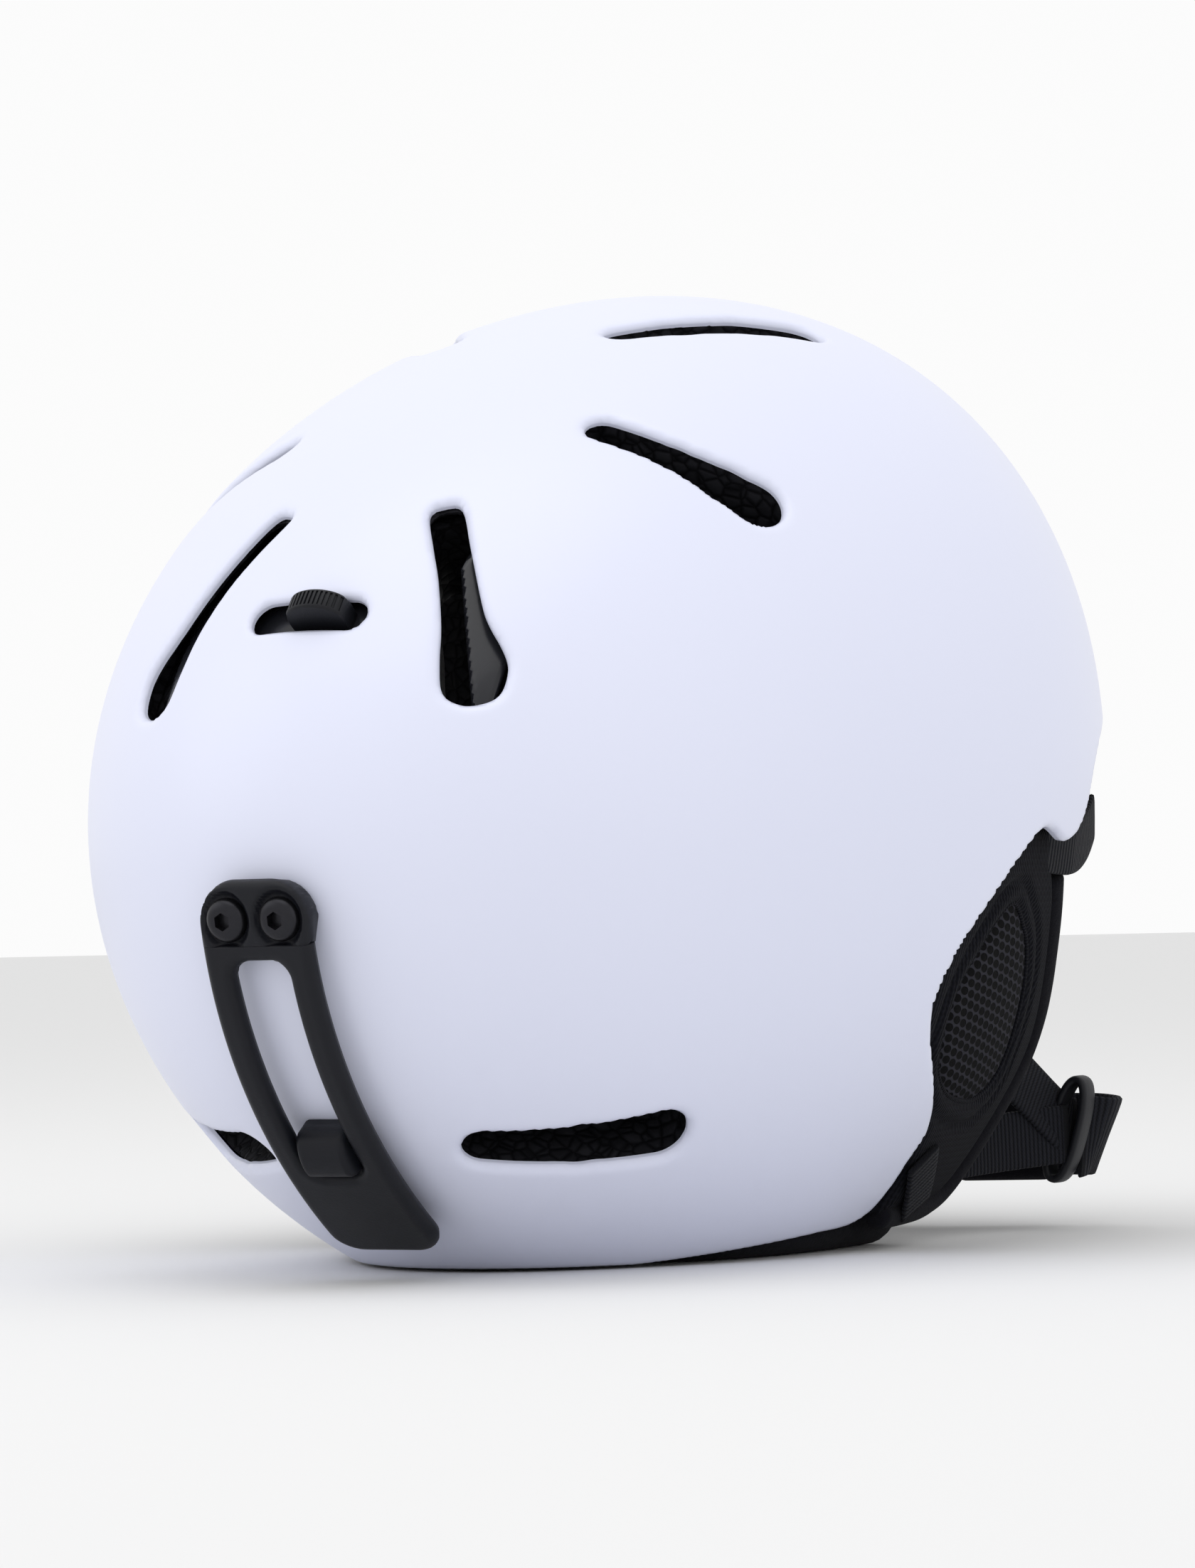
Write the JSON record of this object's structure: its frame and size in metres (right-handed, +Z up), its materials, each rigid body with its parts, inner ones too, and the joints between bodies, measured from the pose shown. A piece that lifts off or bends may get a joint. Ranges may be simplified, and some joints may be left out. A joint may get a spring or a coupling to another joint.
{
  "type": "ski helmet",
  "caption": "Hard-shell ski helmet with foam liner, ear pads, chin strap, size dial, sliding vents and a rubber goggle strap clip at the back.",
  "frame": {"origin": "bottom centre of the helmet's box, at the level of the flat back rim it stands on", "axes": "+Z up, -Y to the front of the helmet, +Y to the back, +X to the wearer's left"},
  "size_m": [0.2202, 0.2828, 0.225],
  "materials": {
    "shell_white": "satin clear coat",
    "foam_black": "moulded bead foam",
    "pad_fleece": "brushed fleece",
    "pad_knit": "fine ribbed knit",
    "ear_mesh": "open coarse mesh",
    "lining_satin": "smooth brushed satin",
    "webbing": "woven webbing",
    "elastic": "ribbed elastic",
    "clip_rubber": "satin",
    "moulded_black": "fine texture",
    "shutter_grey": "glossy",
    "screw_black": "black oxide",
    "steel": "plated"
  },
  "bodies": {
    "helmet": {"outer_shell": "shell_white", "liner_front_right": "foam_black", "liner_front_left": "foam_black", "liner_rear_right": "foam_black", "liner_rear_left": "foam_black", "brow_pad": "pad_fleece", "crown_pad": "pad_fleece", "side_pad_right": "pad_fleece", "side_pad_left": "pad_fleece", "neck_roll": "pad_fleece", "goggle_clip_tab": "clip_rubber", "goggle_clip_screws": "screw_black", "clip_screw_nuts": "steel", "goggle_hook": "clip_rubber", "fit_dial_housing": "moulded_black", "strap_anchor_right": "moulded_black", "strap_anchor_left": "moulded_black", "rear_anchor_right": "moulded_black", "rear_anchor_left": "moulded_black"},
    "goggle_loop": {"goggle_loop": "clip_rubber"},
    "vent_slider": {"vent_slider_knob": "moulded_black", "vent_shutter": "shutter_grey"},
    "fit_dial": {"fit_dial": "moulded_black", "fit_dial_cap": "shutter_grey"},
    "fit_band_right": {"fit_band_right": "moulded_black"},
    "fit_band_left": {"fit_band_left": "moulded_black"},
    "chin_strap_right": {"front_strap_right": "webbing", "rear_strap_right": "webbing", "strap_ring_right": "moulded_black", "chin_web_right": "webbing", "buckle_socket": "moulded_black", "socket_magnet": "steel", "chin_pad": "pad_fleece"},
    "chin_strap_left": {"front_strap_left": "webbing", "rear_strap_left": "webbing", "strap_ring_left": "moulded_black", "chin_web_left": "webbing"},
    "buckle_plug": {"buckle_plug": "moulded_black", "plug_magnet": "steel"},
    "ear_pad_right": {"ear_pad_right": "pad_knit", "ear_mesh_right": "ear_mesh", "ear_pad_lining_right": "lining_satin", "front_elastic_right": "elastic", "rear_elastic_right": "elastic"},
    "ear_pad_left": {"ear_pad_left": "pad_knit", "ear_mesh_left": "ear_mesh", "ear_pad_lining_left": "lining_satin", "front_elastic_left": "elastic", "rear_elastic_left": "elastic"}
  },
  "joints": [
    {"name": "goggle_loop_open", "type": "hinge", "parent": "helmet", "child": "goggle_loop", "pos_m": [0, 0.1385, 0.07289], "axis": [1, 0, 0], "range_deg": [0, 70], "stiffness_Nm_per_rad": 0.01},
    {"name": "vent_slide", "type": "hinge", "parent": "helmet", "child": "vent_slider", "pos_m": [-0.00007, 0.04277, 0.09078], "axis": [0, -0.5969, 0.8023], "range_deg": [-5.8, 2]},
    {"name": "fit_dial_turn", "type": "hinge", "parent": "helmet", "child": "fit_dial", "pos_m": [0, 0.0595, 0.06], "axis": [0, 1, 0], "range_deg": [0, 85]},
    {"name": "fit_band_right_slide", "type": "slide", "parent": "helmet", "child": "fit_band_right", "axis": [1, 0, 0], "range_m": [0, 0.006]},
    {"name": "fit_band_left_slide", "type": "slide", "parent": "helmet", "child": "fit_band_left", "axis": [-1, 0, 0], "range_m": [0, 0.006]},
    {"name": "ear_pad_right_fold", "type": "hinge", "parent": "helmet", "child": "ear_pad_right", "pos_m": [-0.102, -0.0245, 0.092], "axis": [0, 1, 0], "range_deg": [0, 25]},
    {"name": "ear_pad_left_fold", "type": "hinge", "parent": "helmet", "child": "ear_pad_left", "pos_m": [0.102, -0.0245, 0.092], "axis": [0, -1, 0], "range_deg": [0, 25]},
    {"name": "chin_strap_swing", "type": "hinge", "parent": "helmet", "child": "chin_strap_right", "pos_m": [-0.074, -0.0265, 0.099], "axis": [-1, 0, 0], "range_deg": [0, 35], "deforming": ["rear_strap_right"]},
    {"name": "chin_strap_left_swing", "type": "hinge", "parent": "helmet", "child": "chin_strap_left", "pos_m": [0.074, -0.0265, 0.099], "axis": [-1, 0, 0], "range_deg": [0, 35], "deforming": ["rear_strap_left"]},
    {"name": "buckle_release", "type": "slide", "parent": "chin_strap_left", "child": "buckle_plug", "axis": [0, -1, 0], "range_m": [0, 0.01]}
  ],
  "couplings": [
    {"joint": "fit_band_right_slide", "follows": "fit_dial_turn", "m_per_rad": 0.004},
    {"joint": "fit_band_left_slide", "follows": "fit_dial_turn", "m_per_rad": 0.004},
    {"joint": "chin_strap_left_swing", "follows": "chin_strap_swing", "ratio": 1}
  ]
}
